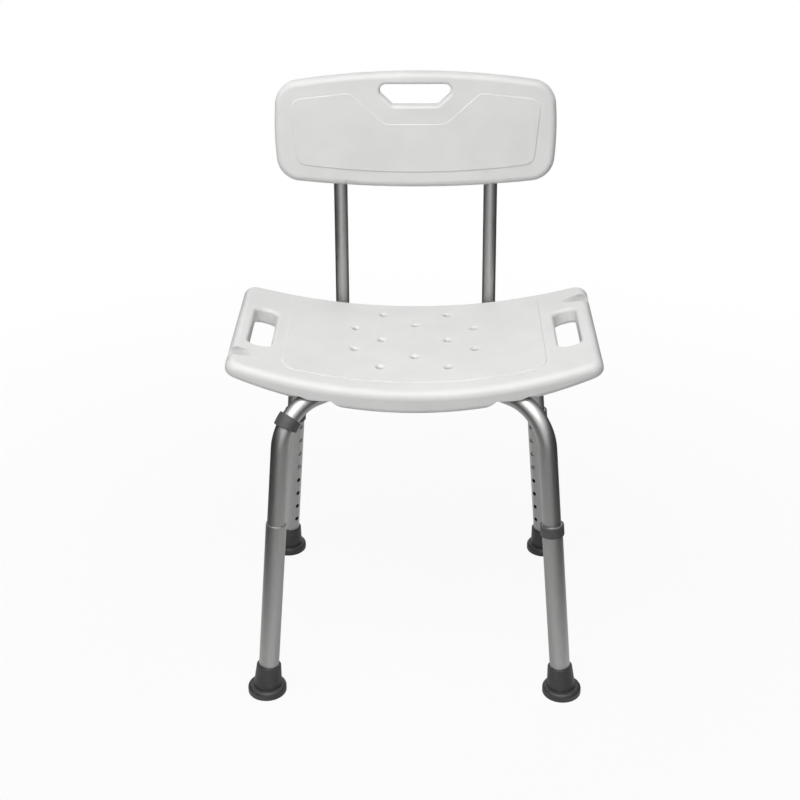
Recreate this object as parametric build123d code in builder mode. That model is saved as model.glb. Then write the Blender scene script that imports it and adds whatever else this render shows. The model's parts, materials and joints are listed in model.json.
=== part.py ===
"""Height-adjustable shower chair: a moulded seat and backrest on a crossed tube frame.

Millimetres, +Z up, +Y to the rear of the chair, floor at Z = 0, origin under the middle of the frame.
"""

import os
from math import atan2, cos, degrees, hypot, radians, sin, sqrt, tan

from build123d import *

os.makedirs("parts", exist_ok=True)

# Stance: where the leg axes meet the floor, and how far each leg leans outwards
foot_half_width = 211.0
foot_half_depth = 191.0
leg_lean = 6.36

# Frame tubes: each runs from one foot over to the opposite one and is pressed flat where the two cross
frame_tube_diameter = 25.4
frame_tube_wall = 1.5
frame_bend_radius = 64.0
frame_run_height = 437.0
flat_half_height = 5.85
flat_half_width = 17.4
flat_half_length = 24.0
flat_taper_length = 42.0
flat_gap = 0.1

# Leg extensions: outer tubes with a row of adjustment holes facing the middle of the chair
leg_tube_wall = 1.5
tube_running_clearance = 0.1
leg_rim_height = 268.0
leg_tube_end = 16.0
hole_pitch = 25.4
hole_count = 8
engaged_hole = 4
hole_diameter = 7.0
frame_tube_past_button = 22.0
tube_edge_round = 0.5

# Snap buttons and their folded leaf springs
button_diameter = 6.4
button_proud = 2.6
button_dome_round = 2.2
button_flange_diameter = 9.2
button_flange_thickness = 1.2
button_flange_clearance = 0.35
spring_thickness = 0.8
spring_width = 8.0
spring_length = 44.0
spring_wall_clearance = 0.15

# Rubber collars at the rims of the leg extensions, one of them pushed up onto its bend
collar_height = 15.5
collar_diameter = 33.0
collar_clearance = 0.05
collar_edge_round = 0.8
bend_collar_clearance = 0.25
bend_collar_slope = 40.0

# Rubber feet with a steel washer under the tube end
foot_flange_diameter = 55.0
foot_flange_thickness = 12.5
foot_flange_round = 5.0
foot_base_round = 2.0
foot_height = 44.0
foot_top_wall = 3.0
foot_top_round = 0.8
foot_skirt_diameter = 41.5
foot_fit_clearance = 0.05
foot_groove_width = 2.0
foot_groove_depth = 1.2
foot_groove_radii = (22.0, 16.0, 10.0)
washer_thickness = 1.5
washer_clearance = 0.4

# Seat: a hollow moulding curved upwards at both ends
seat_width = 508.0
seat_front = -153.0
seat_rear = 147.0
seat_front_bow = 24.0
seat_over_tube = 9.0
seat_end_rise = 36.0
seat_thickness = 32.5
seat_end_thickness = 22.0
seat_front_corner = 19.0
seat_rear_corner = 20.0
seat_top_round = 12.0
seat_bottom_round = 7.0
seat_wall = 3.0
seat_edge_solid = 16.0
groove_clearance = 0.3
trough_half_width = 36.0
trough_wall_angle = 40.0
trough_ceiling_drop = 6.0

# Raised pad of the sitting surface
pad_half_width = 180.0
pad_rear = 134.0
pad_front = -122.0
pad_bow = 12.0
pad_front_corner = 26.0
pad_rear_corner = 9.0
pad_step = 1.2
pad_edge_round = 0.9

# Drain holes, hand slots and the two grooves for a shower head
drain_diameter = 9.0
drain_round = 4.5
drain_centre_y = 12.0
drain_offsets = ((47.0, 89.0), (85.0, 35.0), (0.0, 54.0), (47.0, 0.0))
slot_centre_x = 215.0
slot_centre_y = 6.0
slot_width = 32.0
slot_length = 121.0
slot_corner = 13.0
slot_round = 5.0
hose_groove_radius = 12.5
hose_groove_slope = 6.0
hose_groove_inner = 215.0
hose_groove_round = 2.0
hose_groove_front_y = -88.0
hose_groove_rear_y = 98.0
vent_diameter = 5.0
vent_y = -112.0

# Screws that hold the frame to the seat
bolt_diameter = 6.0
bolt_clearance = 0.3
bolt_radius_from_middle = 120.0
bolt_head_diameter = 12.0
bolt_head_height = 4.5
hex_socket_across = 4.0
hex_socket_depth = 2.5
insert_diameter = 9.0
insert_length = 7.0
thread_fit = 0.05
saddle_length = 16.0
saddle_width = 15.0
saddle_thickness = 2.0
thin_nut_across = 10.0
thin_nut_height = 3.2
nut_pocket_clearance = 0.4

# Back tubes and the sockets that carry them under the rear edge of the seat
back_tube_diameter = 20.0
back_tube_wall = 1.5
back_tube_half_spacing = 110.0
back_tube_gap = 6.0
back_recline = 6.9
back_tube_in_backrest = 108.0
socket_wall = 4.0
socket_depth = 48.0
socket_floor = 3.0
socket_clearance = 0.1
socket_drain_diameter = 8.0
bracket_thickness = 8.0
bracket_recess = 6.5
bracket_inner_x = 38.0
bracket_outer_x = 92.0
bracket_front_y = 112.0
bracket_arm_front_y = 134.0
bracket_arm_overlap = 14.0
bracket_corner = 5.0
bracket_screw_x = (45.0, 62.0)
bracket_screw_y = 130.0
bracket_pocket_clearance = 0.2
bracket_screw_diameter = 5.0
bracket_screw_length = 12.0
bracket_screw_head_diameter = 10.0
bracket_screw_head_height = 3.0
cross_bolt_diameter = 5.0
cross_bolt_depth = 26.0
cross_bolt_head_diameter = 9.0
cross_bolt_head_height = 3.0
cross_nut_across = 8.0
cross_nut_height = 4.0

# Backrest: a hollow moulding with a handle hole
backrest_lift = 174.0
backrest_height = 166.5
backrest_half_width = 204.0
backrest_top_half_width = 199.0
backrest_bottom_half_width = 198.5
backrest_top_bow = 16.7
backrest_bottom_bow = 12.2
backrest_widest = 88.0
backrest_thickness = 28.0
backrest_corner = 36.0
backrest_edge_round = 9.0
backrest_wall = 3.0
backrest_edge_solid = 12.0
backrest_boss_wall = 3.0
handle_half_width = 51.0
handle_bottom_half_width = 32.6
handle_height = 30.4
handle_side_height = 13.8
handle_below_top = 17.4
handle_corner = 8.5
handle_bottom_corner = 4.0
handle_round = 4.5
back_pad_half_width = 181.0
back_pad_bottom_half_width = 172.0
back_pad_bottom = 23.0
back_pad_bottom_bow = 12.0
back_pad_top = 127.5
back_pad_shoulder = 137.0
back_pad_dip = 92.6
back_pad_dip_half_width = 43.7
back_pad_shoulder_half_width = 94.0
back_pad_corner = 16.0
back_pad_step = 1.2
back_pad_edge_round = 0.9
back_screw_diameter = 4.5
back_screw_heights = (26.0, 78.0)
back_screw_head_diameter = 9.0
back_screw_head_height = 2.6
back_screw_into_tube = 4.0

# Values that follow from the sizes above
frame_tube_radius = frame_tube_diameter / 2
frame_bore_radius = frame_tube_radius - frame_tube_wall
leg_bore_radius = frame_tube_radius + tube_running_clearance
leg_tube_radius = leg_bore_radius + leg_tube_wall
lean = radians(leg_lean)
stance = hypot(foot_half_width, foot_half_depth)
diagonal = atan2(foot_half_depth, foot_half_width)
rim_distance = leg_rim_height / cos(lean)
button_distance = rim_distance - engaged_hole * hole_pitch
frame_end_distance = button_distance - frame_tube_past_button
bend_start_height = frame_run_height - frame_bend_radius * (1 - sin(lean))
bend_start_radius = stance - bend_start_height * tan(lean)
bend_centre_radius = bend_start_radius - frame_bend_radius * cos(lean)
bend_centre_height = frame_run_height - frame_bend_radius
flat_shift = flat_half_height + flat_gap / 2
groove_radius = frame_tube_radius + groove_clearance
seat_top = frame_run_height + groove_radius + seat_over_tube
seat_bottom = seat_top - seat_thickness
trough_ceiling = frame_run_height + groove_radius - trough_ceiling_drop
seat_half_width = seat_width / 2
seat_arc_radius = (seat_half_width**2 + seat_end_rise**2) / (2 * seat_end_rise)
hose_groove_start = seat_top + seat_arc_radius - sqrt(seat_arc_radius**2 - hose_groove_inner**2)
bracket_top = seat_bottom + bracket_recess
bracket_bottom = bracket_top - bracket_thickness
recline = radians(back_recline)
back_tube_radius = back_tube_diameter / 2
back_tube_y = seat_rear + back_tube_gap + back_tube_radius
back_axis = Vector(0, sin(recline), cos(recline))
socket_radius = back_tube_radius + socket_clearance + socket_wall
socket_top_distance = (bracket_top - seat_top) / cos(recline)
socket_bottom_distance = socket_top_distance - socket_depth - socket_floor
back_tube_bottom = socket_bottom_distance + socket_floor
back_tube_top = backrest_lift + back_tube_in_backrest
below = (Align.CENTER, Align.CENTER, Align.MIN)

legs = {
    "front_left": (-1, -1),
    "front_right": (1, -1),
    "rear_left": (-1, 1),
    "rear_right": (1, 1),
}
sides = {"left": -1, "right": 1}


def outward(side, end):
    """Level direction from the middle of the chair to a foot."""
    return Vector(side * cos(diagonal), end * sin(diagonal), 0)


def leg_plane(side, end, distance):
    """Plane across a leg, this far up its axis from the floor: local X inwards, local Z up the leg."""
    out = outward(side, end)
    up = Vector(0, 0, cos(lean)) - out * sin(lean)
    inward = Vector(0, 0, -sin(lean)) - out * cos(lean)
    return Plane(out * stance + up * distance, x_dir=inward, z_dir=up)


def diagonal_plane(side, end):
    """Upright plane through the middle: local X out to a foot, local Y up."""
    out = outward(side, end)
    return Plane((0, 0, 0), x_dir=out, z_dir=Vector(out.Y, -out.X, 0))


def across_diagonal(side, end, radius, height=0):
    """Upright plane square to a diagonal, this far from the middle: local Y up, local Z out to the foot."""
    out = outward(side, end)
    return Plane(out * radius + Vector(0, 0, height), x_dir=Vector(-out.Y, out.X, 0), z_dir=out)


def back_plane(side, distance):
    """Plane across a back tube, this far above the seat's level along the recline."""
    start = Vector(side * back_tube_half_spacing, back_tube_y, seat_top)
    return Plane(start + back_axis * distance, x_dir=(1, 0, 0), z_dir=back_axis)


def backrest_plane(offset=0):
    """Plane of the backrest through the back tubes' axes, offset to the front."""
    front = Vector(0, -cos(recline), sin(recline))
    return Plane(Vector(0, back_tube_y, seat_top) + front * offset, x_dir=(1, 0, 0), z_dir=front)


def save(builder, name):
    """Label a finished piece and write it."""
    builder.part.label = name
    export_step(builder.part, f"parts/{name}.step")


def bolt_points():
    """Places along both diagonals where the frame is bolted to the seat."""
    return [outward(side, end) * bolt_radius_from_middle for side, end in legs.values()]


# Frame tubes
def run_frame_tube(side, end, radius, mode):
    """One half of a frame tube: up the leg, round the bend and level to where the flat begins."""
    level_end = flat_half_length + flat_taper_length
    with BuildLine(diagonal_plane(side, end)) as path:
        leg_run = Line(
            (stance - frame_end_distance * sin(lean), frame_end_distance * cos(lean)),
            (bend_start_radius, bend_start_height),
        )
        bend = TangentArc(
            leg_run @ 1,
            diagonal_plane(side, end).from_local_coords((bend_centre_radius, frame_run_height)),
            tangent=leg_run % 1,
        )
        Line(bend @ 1, diagonal_plane(side, end).from_local_coords((level_end, frame_run_height)))
    with BuildSketch(Plane(leg_run @ 0, z_dir=leg_run % 0)) as section:
        Circle(radius)
    sweep(section.sketch, path=path.line, mode=mode)


def taper_frame_tube(side, end, shift, inset, mode):
    """From the round tube to the oval flat at the crossing, and half of that flat."""
    flat_height = frame_run_height + shift
    taper_start = flat_half_length + flat_taper_length
    with BuildSketch(across_diagonal(side, end, taper_start, frame_run_height)) as tube_end:
        Circle(frame_tube_radius - inset)
    with BuildSketch(across_diagonal(side, end, flat_half_length, flat_height)) as flat_end:
        Ellipse(flat_half_width - inset, flat_half_height - inset)
    loft(Sketch() + [tube_end.sketch.face(), flat_end.sketch.face()], mode=mode)
    extrude(flat_end.sketch, amount=-flat_half_length, mode=mode)


for name, (side, end), shift in (
    ("frame_tube_upper", legs["front_left"], flat_shift),
    ("frame_tube_lower", legs["front_right"], -flat_shift),
):
    with BuildPart() as frame_tube:
        for turn in (1, -1):
            run_frame_tube(turn * side, turn * end, frame_tube_radius, Mode.ADD)
            taper_frame_tube(turn * side, turn * end, shift, 0, Mode.ADD)
        for turn in (1, -1):
            run_frame_tube(turn * side, turn * end, frame_bore_radius, Mode.SUBTRACT)
            taper_frame_tube(turn * side, turn * end, shift, frame_tube_wall, Mode.SUBTRACT)
        for turn in (1, -1):
            with BuildSketch(Plane.XY.offset(frame_run_height - frame_tube_diameter)):
                with Locations(outward(turn * side, turn * end) * bolt_radius_from_middle):
                    Circle(bolt_diameter / 2 + bolt_clearance)
            extrude(amount=2 * frame_tube_diameter, mode=Mode.SUBTRACT)
            button_plane = leg_plane(turn * side, turn * end, button_distance)
            with BuildSketch(Plane(button_plane.origin, z_dir=button_plane.x_dir)):
                Circle(hole_diameter / 2)
            extrude(amount=frame_tube_diameter, mode=Mode.SUBTRACT)
        with BuildSketch(Plane.XY.offset(frame_run_height - frame_tube_diameter)):
            Circle(bolt_diameter / 2 + bolt_clearance)
        extrude(amount=2 * frame_tube_diameter, mode=Mode.SUBTRACT)
    save(frame_tube, name)


# Leg extensions, feet, washers, snap buttons, springs and collars
leg_tube_length = rim_distance - leg_tube_end
flange_inner_face = (frame_bore_radius**2 - (button_flange_diameter / 2) ** 2) ** 0.5
flange_inner_face -= button_flange_clearance + button_flange_thickness
spring_reach = (frame_bore_radius**2 - (spring_width / 2) ** 2) ** 0.5 - spring_wall_clearance
collar_bore_radius = leg_tube_radius + collar_clearance

for corner, (side, end) in legs.items():
    with BuildPart(leg_plane(side, end, leg_tube_end)) as leg_extension:
        Cylinder(leg_tube_radius, leg_tube_length, align=below)
        fillet(leg_extension.edges().filter_by(GeomType.CIRCLE), tube_edge_round)
        Cylinder(leg_bore_radius, leg_tube_length, align=below, mode=Mode.SUBTRACT)
        hole_heights = [leg_tube_length - hole_pitch * (n + 1) for n in range(hole_count)]
        with Locations([(0, 0, height) for height in hole_heights]):
            Cylinder(
                hole_diameter / 2,
                leg_tube_radius * 2,
                rotation=(0, 90, 0),
                align=below,
                mode=Mode.SUBTRACT,
            )
    save(leg_extension, f"leg_extension_{corner}")

    floor_point = outward(side, end) * stance
    with BuildPart() as foot:
        with BuildSketch(Plane(floor_point)):
            Circle(foot_flange_diameter / 2)
        extrude(amount=foot_flange_thickness)
        flange_edges = foot.edges().filter_by(GeomType.CIRCLE).sort_by(Axis.Z)
        fillet(flange_edges[-1], foot_flange_round)
        fillet(flange_edges[0], foot_base_round)
        with BuildSketch(leg_plane(side, end, foot_flange_thickness / 2)):
            Circle(foot_skirt_diameter / 2)
        with BuildSketch(leg_plane(side, end, foot_height)):
            Circle(leg_tube_radius + foot_top_wall)
        loft()
        fillet(foot.edges().sort_by(Axis.Z)[-1], foot_top_round)
        with BuildSketch(leg_plane(side, end, leg_tube_end - washer_thickness)):
            Circle(leg_tube_radius + foot_fit_clearance)
        extrude(amount=foot_height, mode=Mode.SUBTRACT)
        with BuildSketch(Plane(floor_point)):
            for radius in foot_groove_radii:
                Circle(radius + foot_groove_width / 2)
                Circle(radius - foot_groove_width / 2, mode=Mode.SUBTRACT)
        extrude(amount=foot_groove_depth, mode=Mode.SUBTRACT)
    save(foot, f"foot_{corner}")

    with BuildPart(leg_plane(side, end, leg_tube_end - washer_thickness)) as foot_washer:
        Cylinder(leg_tube_radius - washer_clearance, washer_thickness, align=below)
    save(foot_washer, f"foot_washer_{corner}")

    with BuildPart(leg_plane(side, end, button_distance)) as snap_button:
        with Locations((flange_inner_face, 0, 0)):
            Cylinder(
                button_diameter / 2,
                leg_tube_radius + button_proud - flange_inner_face,
                rotation=(0, 90, 0),
                align=below,
            )
        tip = leg_plane(side, end, button_distance).x_dir
        fillet(snap_button.edges().sort_by(Axis((0, 0, 0), tip))[-1], button_dome_round)
        with Locations((flange_inner_face, 0, 0)):
            Cylinder(
                button_flange_diameter / 2,
                button_flange_thickness,
                rotation=(0, 90, 0),
                align=below,
            )
    save(snap_button, f"snap_button_{corner}")

    with BuildPart() as button_spring:
        leg_up = leg_plane(side, end, button_distance)
        with BuildSketch(Plane(leg_up.origin, x_dir=leg_up.x_dir, z_dir=-leg_up.y_dir)):
            with BuildLine():
                Polyline(
                    (flange_inner_face - spring_thickness / 2, -spring_width / 2),
                    (flange_inner_face - spring_thickness / 2, spring_width / 2),
                    (0, spring_length),
                    (spring_thickness / 2 - spring_reach, spring_width / 2),
                    (spring_thickness / 2 - spring_reach, -spring_width / 2),
                )
                offset(amount=spring_thickness / 2)
            make_face()
        extrude(amount=spring_width / 2, both=True)
    save(button_spring, f"button_spring_{corner}")

    if corner != "front_left":
        with BuildPart(leg_plane(side, end, rim_distance - collar_height)) as collar:
            Cylinder(collar_diameter / 2, collar_height, align=below)
            fillet(collar.edges().filter_by(GeomType.CIRCLE), collar_edge_round)
            Cylinder(collar_bore_radius, collar_height, align=below, mode=Mode.SUBTRACT)
        save(collar, f"collar_{corner}")

# The front left collar hugs the bend of its frame tube
side, end = legs["front_left"]
collar_turn = degrees(collar_height / frame_bend_radius)
bend_plane = diagonal_plane(side, end)
with BuildPart() as bend_collar:
    slope = radians(bend_collar_slope - collar_turn / 2)
    start = bend_plane.from_local_coords(
        (
            bend_centre_radius + frame_bend_radius * cos(slope),
            bend_centre_height + frame_bend_radius * sin(slope),
        )
    )
    along = outward(side, end) * -sin(slope) + Vector(0, 0, cos(slope))
    bend_axis = Axis(
        bend_plane.from_local_coords((bend_centre_radius, bend_centre_height)),
        bend_plane.z_dir,
    )
    with BuildSketch(Plane(start, z_dir=along)):
        Circle(collar_diameter / 2)
    revolve(axis=bend_axis, revolution_arc=collar_turn)
    fillet(bend_collar.edges().filter_by(GeomType.CIRCLE), collar_edge_round)
    with BuildSketch(Plane(start, z_dir=along)):
        Circle(frame_tube_radius + bend_collar_clearance)
    revolve(axis=bend_axis, revolution_arc=collar_turn, mode=Mode.SUBTRACT)
save(bend_collar, "collar_front_left")


# Seat
def seat_section(top_inset, bottom_inset):
    """Front view of the seat: two arcs, the top one flatter, drawn in from the outer surface."""
    end_top = seat_top + seat_end_rise - top_inset
    end_bottom = seat_top + seat_end_rise - seat_end_thickness + bottom_inset
    with BuildLine() as outline:
        upper = ThreePointArc(
            (-seat_half_width, end_top),
            (0, seat_top - top_inset),
            (seat_half_width, end_top),
        )
        lower = ThreePointArc(
            (seat_half_width, end_bottom),
            (0, seat_bottom + bottom_inset),
            (-seat_half_width, end_bottom),
        )
        Line(upper @ 1, lower @ 0)
        Line(lower @ 1, upper @ 0)
    make_face(outline.edges())


def bowed_plan(half_width, front, bow, rear):
    """Plan with straight sides and rear and a bowed front."""
    with BuildLine() as outline:
        bowed = ThreePointArc((-half_width, front + bow), (0, front), (half_width, front + bow))
        Polyline(bowed @ 1, (half_width, rear), (-half_width, rear), bowed @ 0)
    make_face(outline.edges())


def cut_tube_channels(grow):
    """Trough and round groove along both diagonals of the underside, wider where the tubes are flat."""
    flare_low = seat_bottom - seat_thickness
    spread = trough_half_width + (trough_ceiling - flare_low) * tan(radians(trough_wall_angle))
    for side, end in (legs["front_left"], legs["front_right"]):
        with BuildSketch(across_diagonal(side, end, -seat_width)) as channel:
            with BuildLine() as trough:
                Polyline(
                    (-trough_half_width - grow, trough_ceiling + grow),
                    (trough_half_width + grow, trough_ceiling + grow),
                    (spread + grow, flare_low),
                    (-spread - grow, flare_low),
                    close=True,
                )
            make_face(trough.edges())
            with Locations((0, frame_run_height)):
                Circle(groove_radius + grow)
        extrude(channel.sketch, amount=2 * seat_width, mode=Mode.SUBTRACT)
        reach = flat_half_length + flat_taper_length + grow
        with BuildSketch(across_diagonal(side, end, -reach, frame_run_height)) as relief:
            Rectangle(
                2 * (flat_half_width + groove_clearance + grow),
                flat_top + 2 * groove_clearance + grow - frame_run_height,
                align=(Align.CENTER, Align.MIN),
            )
        extrude(relief.sketch, amount=2 * reach, mode=Mode.SUBTRACT)


def cut_hand_slots(grow):
    """Two rounded slots near the ends."""
    with BuildSketch(Plane.XY.offset(seat_bottom - seat_thickness)) as slots:
        with Locations((-slot_centre_x, slot_centre_y), (slot_centre_x, slot_centre_y)):
            RectangleRounded(slot_width + 2 * grow, slot_length + 2 * grow, slot_corner + grow)
    extrude(slots.sketch, amount=3 * seat_thickness + seat_end_rise, mode=Mode.SUBTRACT)


def cut_drains(grow):
    """Drain holes, mirrored in both directions."""
    places = {
        (sx * x, drain_centre_y + sy * y)
        for x, y in drain_offsets
        for sx in (-1, 1)
        for sy in (-1, 1)
    }
    with BuildSketch(Plane.XY.offset(seat_bottom - seat_thickness)) as drains:
        with Locations(*sorted(places)):
            Circle(drain_diameter / 2 + grow)
    extrude(drains.sketch, amount=3 * seat_thickness, mode=Mode.SUBTRACT)


def cut_hose_grooves(grow):
    """A round groove that falls to the left edge near the front and to the right edge near the rear."""
    slope = radians(hose_groove_slope)
    for side, y in ((-1, hose_groove_front_y), (1, hose_groove_rear_y)):
        tip = (side * hose_groove_inner, y, hose_groove_start)
        fall = (side * cos(slope), 0, -sin(slope))
        with BuildSketch(Plane(tip, x_dir=(0, 1, 0), z_dir=fall)) as groove:
            with Locations((0, side * hose_groove_radius)):
                Circle(hose_groove_radius + grow)
        extrude(groove.sketch, amount=seat_half_width, both=True, mode=Mode.SUBTRACT)


def bracket_outline(side, grow):
    """Plan of a back socket's plate, with an arm back to its tube."""
    plate_width = bracket_outer_x - bracket_inner_x
    plate_depth = seat_rear - bracket_front_y
    arm_outer = back_tube_half_spacing + bracket_arm_overlap
    arm_width = arm_outer - bracket_outer_x + bracket_arm_overlap
    arm_depth = back_tube_y - bracket_arm_front_y
    with BuildSketch(Plane.XY.offset(bracket_bottom)) as outline:
        with Locations((side * (bracket_inner_x + plate_width / 2), bracket_front_y + plate_depth / 2)):
            Rectangle(plate_width + 2 * grow, plate_depth + 2 * grow)
        with Locations((side * (arm_outer - arm_width / 2), bracket_arm_front_y + arm_depth / 2)):
            Rectangle(arm_width + 2 * grow, arm_depth + 2 * grow)
        fillet(outline.vertices(), bracket_corner)
    return outline.sketch


def bracket_screw_points(side):
    """Places of the screws that hold a back socket up to the seat."""
    return [(side * x, bracket_screw_y) for x in bracket_screw_x]


def cut_fastener_pockets(grow):
    """Bores for the threaded inserts and screws, the nut pocket and the seats of the two brackets."""
    with BuildSketch(Plane.XY.offset(frame_run_height)) as bores:
        with Locations(*bolt_points()):
            Circle(insert_diameter / 2 + grow)
    extrude(bores.sketch, amount=insert_top + grow - frame_run_height, mode=Mode.SUBTRACT)
    with BuildSketch(Plane.XY.offset(frame_run_height)) as pocket:
        Circle(thin_nut_corner + nut_pocket_clearance + grow)
    pocket_depth = centre_nut_top + nut_pocket_clearance + grow - frame_run_height
    extrude(pocket.sketch, amount=pocket_depth, mode=Mode.SUBTRACT)
    for side in sides.values():
        outline = bracket_outline(side, bracket_pocket_clearance + grow)
        extrude(outline, amount=bracket_thickness + grow, mode=Mode.SUBTRACT)
        with BuildSketch(Plane.XY.offset(bracket_bottom)) as screws:
            with Locations(*bracket_screw_points(side)):
                Circle(bracket_screw_diameter / 2 + thread_fit + grow)
        screw_depth = bracket_thickness + bracket_screw_length + grow
        extrude(screws.sketch, amount=screw_depth, mode=Mode.SUBTRACT)


insert_top = frame_run_height + groove_radius + insert_length
thin_nut_corner = thin_nut_across / 2 / cos(radians(30))
flat_top = frame_run_height + flat_shift + flat_half_height
flat_bottom = frame_run_height - flat_shift - flat_half_height
centre_nut_top = flat_top + thin_nut_height

with BuildPart() as seat_hollow:
    with BuildSketch(Plane.XZ):
        seat_section(seat_wall, seat_wall)
    extrude(amount=seat_width, both=True)
    with BuildSketch(Plane.XY.offset(seat_bottom - seat_thickness)):
        bowed_plan(
            seat_half_width - seat_edge_solid,
            seat_front + seat_edge_solid,
            seat_front_bow,
            seat_rear - seat_edge_solid,
        )
    extrude(amount=4 * seat_thickness + seat_end_rise, mode=Mode.INTERSECT)
    cut_tube_channels(seat_wall)
    cut_hand_slots(seat_wall + slot_round)
    cut_drains(seat_wall)
    cut_hose_grooves(seat_wall)
    cut_fastener_pockets(seat_wall)

with BuildPart() as seat_pad:
    with BuildSketch(Plane.XZ):
        seat_section(-pad_step, seat_wall)
    extrude(amount=seat_width, both=True)
    with BuildSketch(Plane.XY.offset(seat_bottom - seat_thickness)) as pad_plan:
        bowed_plan(pad_half_width, pad_front, pad_bow, pad_rear)
        fillet(pad_plan.vertices().group_by(Axis.Y)[0], pad_front_corner)
        fillet(pad_plan.vertices().group_by(Axis.Y)[-1], pad_rear_corner)
    extrude(amount=4 * seat_thickness + seat_end_rise, mode=Mode.INTERSECT)
    fillet(seat_pad.faces().sort_by(SortBy.AREA)[-2:].sort_by(Axis.Z)[-1].edges(), pad_edge_round)

with BuildPart() as seat:
    with BuildSketch(Plane.XZ):
        seat_section(0, 0)
    extrude(amount=seat_width, both=True)
    with BuildSketch(Plane.XY.offset(seat_bottom - seat_thickness)) as plan:
        bowed_plan(seat_half_width, seat_front, seat_front_bow, seat_rear)
        fillet(plan.vertices().group_by(Axis.Y)[0], seat_front_corner)
        fillet(plan.vertices().group_by(Axis.Y)[-1], seat_rear_corner)
    extrude(amount=4 * seat_thickness + seat_end_rise, mode=Mode.INTERSECT)
    fillet(seat.faces().sort_by(SortBy.AREA)[-2:].sort_by(Axis.Z)[-1].edges(), seat_top_round)
    fillet(seat.faces().sort_by(SortBy.AREA)[-2:].sort_by(Axis.Z)[0].edges(), seat_bottom_round)
    cut_hand_slots(0)
    fillet(seat.edges(Select.LAST).filter_by(Axis.Z, reverse=True), slot_round)
    add(seat_pad.part)
    cut_drains(0)
    fillet(
        seat.edges(Select.LAST).filter_by(lambda edge: edge.center().Z > seat_top - seat_wall),
        drain_round,
    )
    cut_hose_grooves(0)
    fillet(seat.edges(Select.LAST), hose_groove_round)
    cut_tube_channels(0)
    cut_fastener_pockets(0)
    add(seat_hollow.part, mode=Mode.SUBTRACT)
    with BuildSketch(Plane.XY.offset(seat_bottom - seat_thickness)):
        with Locations((0, vent_y)):
            Circle(vent_diameter / 2)
    extrude(amount=seat_thickness + 2 * seat_wall, mode=Mode.SUBTRACT)
save(seat, "seat")


# Fasteners between frame and seat
def drill(plane, diameter, depth):
    """A straight hole from a plane along its normal."""
    with BuildSketch(plane) as hole:
        Circle(diameter / 2)
    extrude(hole.sketch, amount=depth, mode=Mode.SUBTRACT)


def round_bar(plane, diameter, length):
    """A straight round bar from a plane along its normal."""
    with BuildSketch(plane) as bar:
        Circle(diameter / 2)
    extrude(bar.sketch, amount=length)


def make_bolt(seat_plane, diameter, length, head_diameter, head_height, socket_depth):
    """Bolt whose head sits behind a plane and whose shank runs along the plane's normal."""
    head_plane = seat_plane.offset(-head_height)
    round_bar(head_plane, head_diameter, head_height)
    round_bar(seat_plane, diameter, length)
    with BuildSketch(head_plane) as socket:
        RegularPolygon(hex_socket_across / 2, 6, major_radius=False)
    extrude(socket.sketch, amount=socket_depth, mode=Mode.SUBTRACT)


saddle_bottom = frame_run_height - frame_tube_radius - saddle_thickness
with BuildPart() as bolt_saddles:
    for side, end in legs.values():
        near_end = across_diagonal(side, end, bolt_radius_from_middle - saddle_length / 2, saddle_bottom)
        with BuildSketch(near_end):
            Rectangle(saddle_width, 2 * saddle_thickness, align=(Align.CENTER, Align.MIN))
            with Locations((0, frame_tube_radius + saddle_thickness)):
                Circle(frame_tube_radius + thread_fit, mode=Mode.SUBTRACT)
        extrude(amount=saddle_length)
    for place in bolt_points():
        drill(Plane(place + Vector(0, 0, saddle_bottom)), bolt_diameter + 2 * bolt_clearance, saddle_width)
save(bolt_saddles, "bolt_saddles")

with BuildPart() as frame_bolts:
    for place in bolt_points():
        make_bolt(
            Plane(place + Vector(0, 0, saddle_bottom)),
            bolt_diameter,
            insert_top - saddle_bottom,
            bolt_head_diameter,
            bolt_head_height,
            hex_socket_depth,
        )
save(frame_bolts, "frame_bolts")

with BuildPart() as seat_inserts:
    for place in bolt_points():
        insert_plane = Plane(place + Vector(0, 0, insert_top - insert_length))
        round_bar(insert_plane, insert_diameter - 2 * thread_fit, insert_length)
        drill(insert_plane, bolt_diameter + 2 * thread_fit, insert_length)
save(seat_inserts, "seat_inserts")

with BuildPart() as centre_bolt:
    make_bolt(
        Plane.XY.offset(flat_bottom),
        bolt_diameter,
        centre_nut_top - flat_bottom,
        bolt_head_diameter,
        bolt_head_height,
        hex_socket_depth,
    )
save(centre_bolt, "centre_bolt")

with BuildPart() as centre_nut:
    with BuildSketch(Plane.XY.offset(flat_top)):
        RegularPolygon(thin_nut_across / 2, 6, major_radius=False)
        Circle(bolt_diameter / 2 + thread_fit, mode=Mode.SUBTRACT)
    extrude(amount=thin_nut_height)
save(centre_nut, "centre_nut")

# Back tubes, their sockets and fasteners
socket_length = socket_depth + socket_floor
cross_bolt_distance = socket_top_distance - cross_bolt_depth
backrest_rear = -backrest_thickness / 2


def cross_bolt_plane(side):
    """Plane on the outer side of a socket, facing the middle of the chair."""
    middle = back_plane(side, cross_bolt_distance)
    return Plane(middle.origin + Vector(side * socket_radius, 0, 0), x_dir=back_axis, z_dir=(-side, 0, 0))


def back_screw_planes(side):
    """Planes on the rear of the backrest where its screws enter, facing forward."""
    return [
        Plane(
            backrest_plane(backrest_rear).from_local_coords(
                (side * back_tube_half_spacing, backrest_lift + height)
            ),
            x_dir=(1, 0, 0),
            z_dir=backrest_plane().z_dir,
        )
        for height in back_screw_heights
    ]


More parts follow.
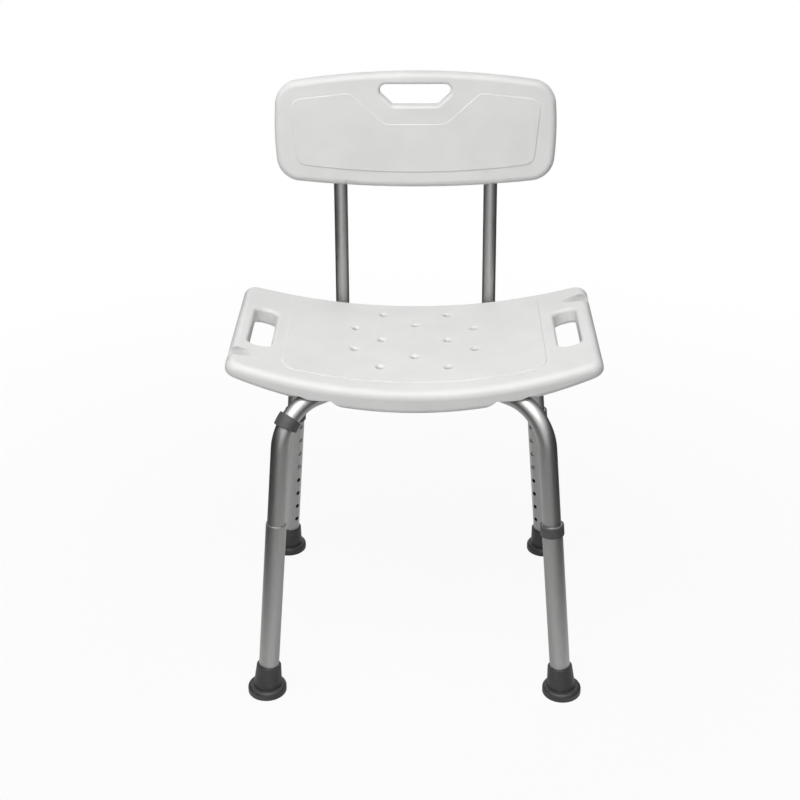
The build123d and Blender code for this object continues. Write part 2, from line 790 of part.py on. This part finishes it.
for name, side in sides.items():
    with BuildPart(back_plane(side, back_tube_bottom)) as back_tube:
        tube_length = back_tube_top - back_tube_bottom
        Cylinder(back_tube_radius, tube_length, align=below)
        Cylinder(back_tube_radius - back_tube_wall, tube_length, align=below, mode=Mode.SUBTRACT)
        drill(cross_bolt_plane(side), cross_bolt_diameter + 2 * bolt_clearance, 2 * socket_radius)
        for plane in back_screw_planes(side):
            drill(plane, back_screw_diameter + 2 * thread_fit, backrest_thickness / 2)
    save(back_tube, f"back_tube_{name}")

    with BuildPart() as back_socket:
        extrude(bracket_outline(side, 0), amount=bracket_thickness)
        round_bar(back_plane(side, socket_bottom_distance), 2 * socket_radius, socket_length)
        tube_seat = back_plane(side, back_tube_bottom)
        drill(tube_seat, back_tube_diameter + 2 * socket_clearance, 2 * socket_depth)
        drill(tube_seat.offset(-socket_floor), socket_drain_diameter, socket_floor)
        drill(cross_bolt_plane(side), cross_bolt_diameter + 2 * bolt_clearance, 2 * socket_radius)
        for x, y in bracket_screw_points(side):
            drill(
                Plane((x, y, bracket_bottom)),
                bracket_screw_diameter + 2 * bolt_clearance,
                bracket_thickness,
            )
    save(back_socket, f"back_socket_{name}")

with BuildPart() as socket_screws:
    for side in sides.values():
        for x, y in bracket_screw_points(side):
            make_bolt(
                Plane((x, y, bracket_bottom)),
                bracket_screw_diameter,
                bracket_thickness + bracket_screw_length,
                bracket_screw_head_diameter,
                bracket_screw_head_height,
                bracket_screw_head_height / 2,
            )
save(socket_screws, "socket_screws")

with BuildPart() as back_tube_bolts:
    for side in sides.values():
        make_bolt(
            cross_bolt_plane(side),
            cross_bolt_diameter,
            2 * socket_radius + cross_nut_height,
            cross_bolt_head_diameter,
            cross_bolt_head_height,
            cross_bolt_head_height / 2,
        )
save(back_tube_bolts, "back_tube_bolts")

with BuildPart() as back_tube_nuts:
    for side in sides.values():
        with BuildSketch(cross_bolt_plane(side).offset(2 * socket_radius)):
            RegularPolygon(cross_nut_across / 2, 6, major_radius=False)
            Circle(cross_bolt_diameter / 2 + thread_fit, mode=Mode.SUBTRACT)
        extrude(amount=cross_nut_height)
save(back_tube_nuts, "back_tube_nuts")


# Backrest
def backrest_outline(inset):
    """Front view of the backrest: four flat arcs."""
    top = backrest_lift + backrest_height - inset
    bottom = backrest_lift + inset
    top_half = backrest_top_half_width - inset
    bottom_half = backrest_bottom_half_width - inset
    with BuildLine() as outline:
        crown = ThreePointArc(
            (-top_half, top - backrest_top_bow),
            (0, top),
            (top_half, top - backrest_top_bow),
        )
        foot_arc = ThreePointArc(
            (bottom_half, bottom + backrest_bottom_bow),
            (0, bottom),
            (-bottom_half, bottom + backrest_bottom_bow),
        )
        widest = backrest_lift + backrest_widest
        ThreePointArc(crown @ 1, (backrest_half_width - inset, widest), foot_arc @ 0)
        ThreePointArc(foot_arc @ 1, (inset - backrest_half_width, widest), crown @ 0)
    make_face(outline.edges())


def cut_handle(plane, grow):
    """Handle hole right through, with upright sides that slant in to a narrower bottom."""
    top = backrest_lift + backrest_height - handle_below_top
    bottom = top - handle_height
    shoulder = top - handle_side_height
    with BuildSketch(plane) as hole:
        with BuildLine() as outline:
            Polyline(
                (-handle_half_width, top),
                (handle_half_width, top),
                (handle_half_width, shoulder),
                (handle_bottom_half_width, bottom),
                (-handle_bottom_half_width, bottom),
                (-handle_half_width, shoulder),
                close=True,
            )
        make_face(outline.edges())
        corners = hole.vertices().sort_by(Axis.Y)
        fillet(corners[2:], handle_corner)
        fillet(hole.vertices().group_by(Axis.Y)[0], handle_bottom_corner)
        if grow:
            offset(amount=grow)
    extrude(hole.sketch, amount=backrest_thickness, both=True, mode=Mode.SUBTRACT)


with BuildPart() as backrest_hollow:
    with BuildSketch(backrest_plane(backrest_rear + backrest_wall)):
        backrest_outline(backrest_edge_solid)
    extrude(amount=backrest_thickness - 2 * backrest_wall)
    cut_handle(backrest_plane(), backrest_wall + handle_round)
    boss_width = back_tube_diameter + 2 * socket_clearance + 2 * backrest_boss_wall
    with BuildSketch(backrest_plane()):
        with Locations((-back_tube_half_spacing, backrest_lift), (back_tube_half_spacing, backrest_lift)):
            Rectangle(
                boss_width,
                back_tube_in_backrest + backrest_boss_wall,
                align=(Align.CENTER, Align.MIN),
            )
    extrude(amount=backrest_thickness, both=True, mode=Mode.SUBTRACT)

with BuildPart() as backrest:
    with BuildSketch(backrest_plane(backrest_rear)) as shape:
        backrest_outline(0)
        fillet(shape.vertices(), backrest_corner)
    extrude(amount=backrest_thickness)
    rims = backrest.faces().sort_by(SortBy.AREA)[-2:]
    fillet(rims.edges(), backrest_edge_round)
    cut_handle(backrest_plane(), 0)
    fillet(
        backrest.edges(Select.LAST).filter_by(Axis((0, 0, 0), backrest_plane().z_dir), reverse=True),
        handle_round,
    )
    with BuildSketch(backrest_plane(-backrest_rear)) as back_pad:
        with BuildLine():
            low = backrest_lift + back_pad_bottom
            high = backrest_lift + back_pad_top
            shoulder = backrest_lift + back_pad_shoulder
            dip = backrest_lift + back_pad_dip
            lower_edge = ThreePointArc(
                (-back_pad_bottom_half_width, low + back_pad_bottom_bow),
                (0, low),
                (back_pad_bottom_half_width, low + back_pad_bottom_bow),
            )
            Polyline(
                lower_edge @ 1,
                (back_pad_half_width, high),
                (back_pad_shoulder_half_width, shoulder),
                (back_pad_dip_half_width, dip),
                (-back_pad_dip_half_width, dip),
                (-back_pad_shoulder_half_width, shoulder),
                (-back_pad_half_width, high),
                lower_edge @ 0,
            )
        make_face()
        fillet(back_pad.vertices(), back_pad_corner)
    extrude(amount=back_pad_step)
    outermost = backrest.faces().sort_by(Axis((0, 0, 0), backrest_plane().z_dir))[-1]
    fillet(outermost.edges(), back_pad_edge_round)
    add(backrest_hollow.part, mode=Mode.SUBTRACT)
    for side in sides.values():
        drill(
            back_plane(side, backrest_lift - backrest_bottom_bow),
            back_tube_diameter + 2 * socket_clearance,
            back_tube_in_backrest + backrest_bottom_bow,
        )
        for plane in back_screw_planes(side):
            drill(plane, back_screw_diameter + 2 * thread_fit, backrest_thickness / 2)
    vent_start = Vector(0, back_tube_y, seat_top) + back_axis * (backrest_lift - backrest_bottom_bow)
    drill(Plane(vent_start, z_dir=back_axis), vent_diameter, backrest_bottom_bow + 2 * backrest_edge_solid)
save(backrest, "backrest")

with BuildPart() as backrest_screws:
    for side in sides.values():
        for plane in back_screw_planes(side):
            make_bolt(
                plane,
                back_screw_diameter,
                backrest_thickness / 2 - back_tube_radius + back_tube_wall + back_screw_into_tube,
                back_screw_head_diameter,
                back_screw_head_height,
                back_screw_head_height / 2,
            )
save(backrest_screws, "backrest_screws")
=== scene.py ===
"""Height-adjustable shower chair: moulded seat and backrest on a crossed frame of anodised tube.

Metres, +Z up, +Y to the rear of the chair, floor at Z = 0.
"""

import json
from math import radians

import bpy
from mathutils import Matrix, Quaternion, Vector


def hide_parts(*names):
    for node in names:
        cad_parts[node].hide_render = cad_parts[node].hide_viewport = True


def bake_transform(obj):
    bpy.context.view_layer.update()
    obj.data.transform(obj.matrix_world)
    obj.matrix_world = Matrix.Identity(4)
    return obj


MM = 0.001

# Camera, measured from the photograph's own perspective
CAMERA_PLACE = Vector((0.01882, -1.95176, 1.35785))
CAMERA_TARGET = Vector((-0.02129, 0.0, 0.37144))
CAMERA_ROLL = radians(-0.42)
CAMERA_LENS_MM = 68.35
SENSOR_MM = 36.0

# Colours as they look, in sRGB
WHITE_POLYETHYLENE = "#E4E4E3"
WHITE_POLYETHYLENE_SHADE = "#DFDFDE"
ANODISED_ALUMINIUM = "#B3B3B2"
ANODISED_ALUMINIUM_STREAK = "#ABABAA"
COLLAR_GREY = "#4A4A4A"
COLLAR_GREY_DUST = "#555555"
FOOT_GREY = "#353535"
FOOT_GREY_DUST = "#404040"
ZINC_STEEL = "#B4B5B6"
SPRING_STEEL = "#8F9092"
BRASS = "#C2A25A"
STUDIO_WHITE = "#FFFFFF"
PAPER_WHITE = "#D0D0D0"
STUDIO_DARK = "#383838"

# Widths of the features in each pattern
WALL_CLOUD_MM = 70
SPARK_GRAIN_MM = 1.6
DRAWN_LINE_MM = (1.2, 1.2, 90)
RUBBER_DUST_MM = 9
RUBBER_PEBBLE_MM = 1.4

# Painted shade down in the seat's hose grooves: the plastic's colour darkened where walls keep the light out
GROOVE_CORNER = (200 * MM, 72 * MM, 0.0)  # where their corners begin, from the middle of the seat
GROOVE_CORNER_EDGE = 10 * MM  # width over which the shade sets in there
GROOVE_WALL_REACH = 30 * MM  # how far off a wall still counts
GROOVE_OPENNESS = (0.72, 0.985)  # how open a place is where the shade is deepest and where it ends
GROOVE_DEEPEST = 0.36  # share of the colour that the deepest painted shade leaves

# Springs of the snap buttons
SPRING_MERGE = 0.001 * MM
SPRING_SMOOTH_ANGLE = radians(30)

# Pale floor
FLOOR_SIZE = 24.0
NEAR_WHITE_SHARE = 0.93  # how clear it is near the chair, where the shadow shows
SHADOW_REACH = (0.45, 1.5)  # radius up to which that holds, and from which the floor is all white

# Dark floor and upright flags that only shiny surfaces see: painted dark reflections in the tubes
DARK_FLOOR_SIZE = 6.0
DARK_FLOOR_DROP = 85 * MM  # to below the feet of the longest legs
DARK_FLOOR_REACH = 2.0  # radius that its ramp spans
DARK_FLOOR_SHARES = ((0.28, 0.45), (0.42, 0.0), (0.94, 0.82), (1.2, 0.96))  # radius and darkness: a painted shadow of the chair under it, clear around it, and painted darkness further out where the light falls off
FLAG_DISTANCE = 0.62
FLAG_SIZE = (2.6, 0.72)

# Light of the white world on matt surfaces
AMBIENT = 0.14

# Lamps: name, place, target, size, watts, degrees of beam, and whether shiny surfaces see it
SOFTBOXES = (
    ("top_softbox", (-0.15, -0.9, 2.4), (0, 0, 0.4), (2.4, 1.8), 27, 180, True),
    ("seat_softbox", (-0.15, -0.9, 2.4), (0, -0.45, 0.45), (1.6, 1.2), 2.2, 70, True),
    ("front_softbox", (-0.1, -1.5, 1.75), (0, 0, 0.45), (1.2, 0.7), 6, 180, True),
    ("side_softbox", (-1.7, -1.2, 1.6), (0, 0, 0.45), (1.2, 1.2), 11.5, 180, False),
    ("rear_softbox", (0.5, 2.0, 0.75), (0, 0.1, 0.5), (1.2, 0.9), 9, 180, False),
)


def linear(hex_colour):
    """Linear RGBA of an sRGB hex colour."""
    parts = [int(hex_colour[i : i + 2], 16) / 255 for i in (1, 3, 5)]
    return [p / 12.92 if p <= 0.04045 else ((p + 0.055) / 1.055) ** 2.4 for p in parts] + [1.0]


def per_metre(size_mm):
    """Texture scale of a pattern whose features are this many millimetres wide."""
    return 1.0 / (size_mm * MM)


def add_node(tree, kind, inputs=None, links=None, **settings):
    """Add one node, set its options and sockets, and link other nodes' outputs into it."""
    node = tree.nodes.new(kind)
    for name, value in settings.items():
        setattr(node, name, value)
    for name, value in (inputs or {}).items():
        node.inputs[name].default_value = value
    for name, output in (links or {}).items():
        tree.links.new(output, node.inputs[name])
    return node


def set_stops(ramp, stops):
    """Give a colour ramp its stops, each a position and a linear colour, from left to right."""
    elements = ramp.color_ramp.elements
    while len(elements) < len(stops):
        elements.new(1.0)
    for element, (position, colour) in zip(elements, stops):
        element.position = position
        element.color = colour


def start_material(name):
    """Empty node tree, and the object coordinates that every pattern reads."""
    material = bpy.data.materials.new(name)
    material.use_nodes = True
    tree = material.node_tree
    tree.nodes.clear()
    place = add_node(tree, "ShaderNodeTexCoord")
    return material, tree, place.outputs["Object"]


def groove_shade(tree, place):
    """Share of its colour that the plastic keeps: all of it, and less down in the hose grooves, where shade is
    painted in.
    """
    openness = add_node(
        tree,
        "ShaderNodeAmbientOcclusion",
        {"Distance": GROOVE_WALL_REACH},
        samples=8,
        only_local=True,
    )
    shade = add_node(
        tree,
        "ShaderNodeMapRange",
        {"From Min": GROOVE_OPENNESS[0], "From Max": GROOVE_OPENNESS[1], "To Min": GROOVE_DEEPEST},
        {"Value": openness.outputs["AO"]},
    )
    from_middle = add_node(tree, "ShaderNodeVectorMath", links={0: place}, operation="ABSOLUTE")
    past_corner = add_node(
        tree,
        "ShaderNodeVectorMath",
        {1: GROOVE_CORNER},
        {0: from_middle.outputs["Vector"]},
        operation="SUBTRACT",
    )
    past = add_node(tree, "ShaderNodeSeparateXYZ", links={"Vector": past_corner.outputs["Vector"]})
    inside = add_node(
        tree,
        "ShaderNodeMath",
        links={0: past.outputs["X"], 1: past.outputs["Y"]},
        operation="MINIMUM",
    )
    outside = add_node(
        tree,
        "ShaderNodeMapRange",
        {"From Max": GROOVE_CORNER_EDGE, "To Min": 1.0, "To Max": 0.0},
        {"Value": inside.outputs[0]},
    )
    kept = add_node(
        tree,
        "ShaderNodeMath",
        links={0: shade.outputs["Result"], 1: outside.outputs["Result"]},
        operation="MAXIMUM",
    )
    return kept.outputs[0]


def moulded_polyethylene():
    """White blow-moulded HDPE: satin skin, fine sparked grain, faint clouding of the wall and painted shade in the
    hose grooves.
    """
    material, tree, place = start_material("moulded_polyethylene")
    cloud = add_node(
        tree,
        "ShaderNodeTexNoise",
        {"Scale": per_metre(WALL_CLOUD_MM), "Detail": 3.0, "Roughness": 0.55},
        {"Vector": place},
    )
    tone = add_node(tree, "ShaderNodeValToRGB", links={"Fac": cloud.outputs["Fac"]})
    set_stops(tone, ((0.35, linear(WHITE_POLYETHYLENE_SHADE)), (0.62, linear(WHITE_POLYETHYLENE))))
    # Painted shade: the colour is darkened down in the hose grooves
    shaded = add_node(
        tree,
        "ShaderNodeVectorMath",
        links={0: tone.outputs["Color"], "Scale": groove_shade(tree, place)},
        operation="SCALE",
    )
    grain = add_node(
        tree,
        "ShaderNodeTexNoise",
        {"Scale": per_metre(SPARK_GRAIN_MM), "Detail": 2.0, "Roughness": 0.5},
        {"Vector": place},
    )
    bump = add_node(
        tree,
        "ShaderNodeBump",
        {"Strength": 0.12, "Distance": 0.25 * MM},
        {"Height": grain.outputs["Fac"]},
    )
    satin = add_node(
        tree,
        "ShaderNodeMapRange",
        {"To Min": 0.36, "To Max": 0.46},
        {"Value": cloud.outputs["Fac"]},
    )
    skin = add_node(
        tree,
        "ShaderNodeBsdfPrincipled",
        {"IOR": 1.54, "Specular IOR Level": 0.42},
        {
            "Base Color": shaded.outputs["Vector"],
            "Roughness": satin.outputs["Result"],
            "Normal": bump.outputs["Normal"],
        },
    )
    add_node(tree, "ShaderNodeOutputMaterial", links={"Surface": skin.outputs["BSDF"]})
    return material


def anodised_tube():
    """Satin anodised aluminium: lines along the tube, drawn coarser than life so that they show."""
    material, tree, place = start_material("anodised_aluminium")
    drawn = add_node(
        tree,
        "ShaderNodeMapping",
        {"Scale": [per_metre(size_mm) for size_mm in DRAWN_LINE_MM]},
        {"Vector": place},
    )
    lines = add_node(
        tree,
        "ShaderNodeTexNoise",
        {"Scale": 1.0, "Detail": 2.0, "Roughness": 0.6},
        {"Vector": drawn.outputs["Vector"]},
    )
    tone = add_node(tree, "ShaderNodeValToRGB", links={"Fac": lines.outputs["Fac"]})
    set_stops(tone, ((0.3, linear(ANODISED_ALUMINIUM_STREAK)), (0.6, linear(ANODISED_ALUMINIUM))))
    satin = add_node(
        tree,
        "ShaderNodeMapRange",
        {"To Min": 0.4, "To Max": 0.48},
        {"Value": lines.outputs["Fac"]},
    )
    bump = add_node(
        tree,
        "ShaderNodeBump",
        {"Strength": 0.03, "Distance": 0.1 * MM},
        {"Height": lines.outputs["Fac"]},
    )
    skin = add_node(
        tree,
        "ShaderNodeBsdfPrincipled",
        {"Metallic": 1.0},
        {
            "Base Color": tone.outputs["Color"],
            "Roughness": satin.outputs["Result"],
            "Normal": bump.outputs["Normal"],
        },
    )
    add_node(tree, "ShaderNodeOutputMaterial", links={"Surface": skin.outputs["BSDF"]})
    return material


def moulded_rubber(name, dark, dust, roughness):
    """Grey moulded rubber: matt, with a pebbled mould skin and a little dust on it."""
    material, tree, place = start_material(name)
    dusting = add_node(
        tree,
        "ShaderNodeTexNoise",
        {"Scale": per_metre(RUBBER_DUST_MM), "Detail": 4.0, "Roughness": 0.6},
        {"Vector": place},
    )
    tone = add_node(tree, "ShaderNodeValToRGB", links={"Fac": dusting.outputs["Fac"]})
    set_stops(tone, ((0.4, linear(dark)), (0.75, linear(dust))))
    pebbles = add_node(
        tree,
        "ShaderNodeTexVoronoi",
        {"Scale": per_metre(RUBBER_PEBBLE_MM)},
        {"Vector": place},
    )
    bump = add_node(
        tree,
        "ShaderNodeBump",
        {"Strength": 0.18, "Distance": 0.2 * MM},
        {"Height": pebbles.outputs["Distance"]},
    )
    skin = add_node(
        tree,
        "ShaderNodeBsdfPrincipled",
        {"Roughness": roughness, "IOR": 1.52},
        {"Base Color": tone.outputs["Color"], "Normal": bump.outputs["Normal"]},
    )
    add_node(tree, "ShaderNodeOutputMaterial", links={"Surface": skin.outputs["BSDF"]})
    return material


def plated_metal(name, colour, grain_mm, smoothest, roughest):
    """Plated or plain metal of small fittings: bright, with a fine uneven polish."""
    material, tree, place = start_material(name)
    polish = add_node(
        tree,
        "ShaderNodeTexNoise",
        {"Scale": per_metre(grain_mm), "Detail": 3.0, "Roughness": 0.6},
        {"Vector": place},
    )
    satin = add_node(
        tree,
        "ShaderNodeMapRange",
        {"To Min": smoothest, "To Max": roughest},
        {"Value": polish.outputs["Fac"]},
    )
    bump = add_node(
        tree,
        "ShaderNodeBump",
        {"Strength": 0.06, "Distance": 0.1 * MM},
        {"Height": polish.outputs["Fac"]},
    )
    skin = add_node(
        tree,
        "ShaderNodeBsdfPrincipled",
        {"Metallic": 1.0, "Base Color": linear(colour)},
        {"Roughness": satin.outputs["Result"], "Normal": bump.outputs["Normal"]},
    )
    add_node(tree, "ShaderNodeOutputMaterial", links={"Surface": skin.outputs["BSDF"]})
    return material


def seen_directly(tree):
    """One for rays from the eye, in a mirror or through a clear body, and nothing for lighting."""
    path = add_node(tree, "ShaderNodeLightPath")
    shiny = add_node(
        tree,
        "ShaderNodeMath",
        links={0: path.outputs["Is Glossy Ray"], 1: path.outputs["Is Transmission Ray"]},
        operation="MAXIMUM",
    )
    seen = add_node(
        tree,
        "ShaderNodeMath",
        links={0: path.outputs["Is Camera Ray"], 1: shiny.outputs[0]},
        operation="MAXIMUM",
    )
    return seen.outputs[0]


def studio_floor():
    """Matt paper that the white world shows through, but for a soft shadow; clear from below."""
    material, tree, place = start_material("studio_floor")
    distance = add_node(tree, "ShaderNodeVectorMath", links={0: place}, operation="LENGTH")
    near = add_node(
        tree,
        "ShaderNodeMapRange",
        {
            "From Min": SHADOW_REACH[0],
            "From Max": SHADOW_REACH[1],
            "To Min": NEAR_WHITE_SHARE,
        },
        {"Value": distance.outputs["Value"]},
    )
    share = add_node(
        tree,
        "ShaderNodeMath",
        links={0: seen_directly(tree), 1: near.outputs["Result"]},
        operation="MULTIPLY",
    )
    face = add_node(tree, "ShaderNodeNewGeometry")
    clearness = add_node(
        tree,
        "ShaderNodeMath",
        links={0: share.outputs[0], 1: face.outputs["Backfacing"]},
        operation="MAXIMUM",
    )
    matt = add_node(tree, "ShaderNodeBsdfDiffuse", {"Color": linear(PAPER_WHITE)})
    clear = add_node(tree, "ShaderNodeBsdfTransparent")
    mixed = add_node(
        tree,
        "ShaderNodeMixShader",
        links={"Fac": clearness.outputs[0], 1: matt.outputs["BSDF"], 2: clear.outputs["BSDF"]},
    )
    add_node(tree, "ShaderNodeOutputMaterial", links={"Surface": mixed.outputs["Shader"]})
    return material


def dark_surround(shares=None):
    """Painted dark reflections for shiny surfaces, all dark or as dark as the shares say at each distance."""
    material, tree, place = start_material("painted_dark_reflection")
    matt = add_node(tree, "ShaderNodeBsdfDiffuse", {"Color": linear(STUDIO_DARK)})
    surface = matt.outputs["BSDF"]
    if shares:
        distance = add_node(tree, "ShaderNodeVectorMath", links={0: place}, operation="LENGTH")
        reached = add_node(
            tree,
            "ShaderNodeMath",
            {1: DARK_FLOOR_REACH},
            {0: distance.outputs["Value"]},
            operation="DIVIDE",
        )
        dark = add_node(tree, "ShaderNodeValToRGB", links={"Fac": reached.outputs[0]})
        # Painted shadow under the chair and painted darkness far out, seen in reflections only
        set_stops(
            dark,
            [(metres / DARK_FLOOR_REACH, (share, share, share, 1.0)) for metres, share in shares],
        )
        clear = add_node(tree, "ShaderNodeBsdfTransparent")
        mixed = add_node(
            tree,
            "ShaderNodeMixShader",
            links={"Fac": dark.outputs["Color"], 1: clear.outputs["BSDF"], 2: surface},
        )
        surface = mixed.outputs["Shader"]
    add_node(tree, "ShaderNodeOutputMaterial", links={"Surface": surface})
    return material


def dress_nodes(nodes, subparts):
    """Give every piece of the frame its finish."""
    finishes = {
        "white_plastic": moulded_polyethylene(),
        "aluminium_tube": anodised_tube(),
        "collar_rubber": moulded_rubber(
            "collar_rubber", COLLAR_GREY, COLLAR_GREY_DUST, roughness=0.55
        ),
        "foot_rubber": moulded_rubber("foot_rubber", FOOT_GREY, FOOT_GREY_DUST, roughness=0.48),
        "steel_fastener": plated_metal(
            "zinc_plated_steel", ZINC_STEEL, grain_mm=0.8, smoothest=0.25, roughest=0.42
        ),
        "button_steel": plated_metal(
            "spring_steel", SPRING_STEEL, grain_mm=1.0, smoothest=0.2, roughest=0.32
        ),
        "brass_insert": plated_metal(
            "turned_brass", BRASS, grain_mm=0.6, smoothest=0.25, roughest=0.38
        ),
    }
    slots = {part["node"]: part["material_slot"] for part in subparts}
    for name, node in nodes.items():
        node.data.materials.clear()
        node.data.materials.append(finishes[slots[name]])


def bend_springs(nodes, joints):
    """Leaf springs, merged and smooth-shaded copies, in place of the rigid ones."""
    for joint in joints:
        if not joint["name"].startswith("button_press_"):
            continue
        rigid_name = joint["name"].replace("button_press", "button_spring")
        mesh = nodes[rigid_name].data.copy()
        spring = bpy.data.objects.new(joint["name"].replace("button_press", "leaf_spring"), mesh)
        bpy.context.collection.objects.link(spring)
        bpy.ops.object.select_all(action="DESELECT")
        bpy.context.view_layer.objects.active = spring
        spring.select_set(True)
        bpy.ops.object.mode_set(mode="EDIT")
        bpy.ops.mesh.select_all(action="SELECT")
        bpy.ops.mesh.remove_doubles(threshold=SPRING_MERGE)
        bpy.ops.object.mode_set(mode="OBJECT")
        bpy.ops.object.shade_smooth_by_angle(angle=SPRING_SMOOTH_ANGLE)
        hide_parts(rigid_name)
        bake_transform(spring)


def add_floor():
    """Large pale floor under the feet, which lets light through to legs let out below it."""
    bpy.ops.mesh.primitive_plane_add(size=FLOOR_SIZE, location=(0, 0, 0))
    floor = bpy.context.object
    floor.name = "studio_floor"
    floor.data.materials.append(studio_floor())
    floor.visible_shadow = False


def hide_from_eye(card):
    """Leave a card to shiny surfaces alone."""
    card.visible_camera = False
    card.visible_diffuse = False
    card.visible_transmission = False
    card.visible_shadow = False


def add_flag(name, side, finish):
    """Upright dark card beside the chair, a painted dark reflection for the dark edges of its tubes."""
    bpy.ops.mesh.primitive_plane_add(
        size=1.0,
        location=(side * FLAG_DISTANCE, 0.0, FLAG_SIZE[1] / 2),
        rotation=(0, radians(90), 0),
    )
    flag = bpy.context.object
    flag.name = name
    flag.scale = (FLAG_SIZE[1], FLAG_SIZE[0], 1.0)
    flag.data.materials.append(finish)
    hide_from_eye(flag)


def add_dark_floor():
    """Painted dark floor, seen only in reflections, around the lit patch that the chair stands on."""
    bpy.ops.mesh.primitive_plane_add(size=DARK_FLOOR_SIZE, location=(0, 0, -DARK_FLOOR_DROP))
    sheet = bpy.context.object
    sheet.name = "dark_floor"
    sheet.data.materials.append(dark_surround(DARK_FLOOR_SHARES))
    hide_from_eye(sheet)


def add_softbox(name, place, target, size, power, beam, in_reflections):
    """Rectangular area lamp that looks at a point, with a beam this many degrees wide."""
    bpy.ops.object.light_add(type="AREA", location=place)
    lamp = bpy.context.object
    lamp.name = name
    lamp.visible_glossy = in_reflections
    lamp.data.shape = "RECTANGLE"
    lamp.data.size, lamp.data.size_y = size
    lamp.data.energy = power
    lamp.data.spread = radians(beam)
    lamp.rotation_mode = "QUATERNION"
    lamp.rotation_quaternion = (Vector(target) - Vector(place)).to_track_quat("-Z", "Y")


def add_world():
    """World that is white to the eye and in reflections, and dim as a light."""
    world = bpy.data.worlds.new("studio")
    bpy.context.scene.world = world
    world.use_nodes = True
    tree = world.node_tree
    tree.nodes.clear()
    strength = add_node(
        tree,
        "ShaderNodeMapRange",
        {"To Min": AMBIENT},
        {"Value": seen_directly(tree)},
    )
    sky = add_node(
        tree,
        "ShaderNodeBackground",
        {"Color": linear(STUDIO_WHITE)},
        {"Strength": strength.outputs["Result"]},
    )
    add_node(tree, "ShaderNodeOutputWorld", links={"Surface": sky.outputs["Background"]})


def light_studio():
    """Soft light from above and all round, and dark cards for the reflections in the tubes."""
    for softbox in SOFTBOXES:
        add_softbox(*softbox)
    dark_card = dark_surround()
    add_flag("flag_left", -1, dark_card)
    add_flag("flag_right", 1, dark_card)
    add_dark_floor()
    add_world()


def add_camera():
    """Camera at the photograph's place, for a square image."""
    bpy.ops.object.camera_add(location=CAMERA_PLACE)
    camera = bpy.context.object
    camera.data.sensor_fit = "HORIZONTAL"
    camera.data.sensor_width = SENSOR_MM
    camera.data.lens = CAMERA_LENS_MM
    aim = (CAMERA_TARGET - CAMERA_PLACE).to_track_quat("-Z", "Y")
    camera.rotation_mode = "QUATERNION"
    camera.rotation_quaternion = aim @ Quaternion((0, 0, 1), CAMERA_ROLL)
    bpy.context.scene.camera = camera


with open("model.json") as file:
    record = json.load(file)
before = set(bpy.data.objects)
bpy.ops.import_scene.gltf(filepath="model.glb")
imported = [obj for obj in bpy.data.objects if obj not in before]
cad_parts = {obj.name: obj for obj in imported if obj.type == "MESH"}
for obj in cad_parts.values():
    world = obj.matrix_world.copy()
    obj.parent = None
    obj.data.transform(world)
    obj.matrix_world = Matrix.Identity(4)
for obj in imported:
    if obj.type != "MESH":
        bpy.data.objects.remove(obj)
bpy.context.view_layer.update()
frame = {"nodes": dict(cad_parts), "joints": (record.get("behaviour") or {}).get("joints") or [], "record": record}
dress_nodes(frame["nodes"], frame["record"]["subparts"])
bend_springs(frame["nodes"], frame["joints"])
add_floor()
light_studio()
add_camera()
bpy.context.scene.view_settings.view_transform = "Standard"
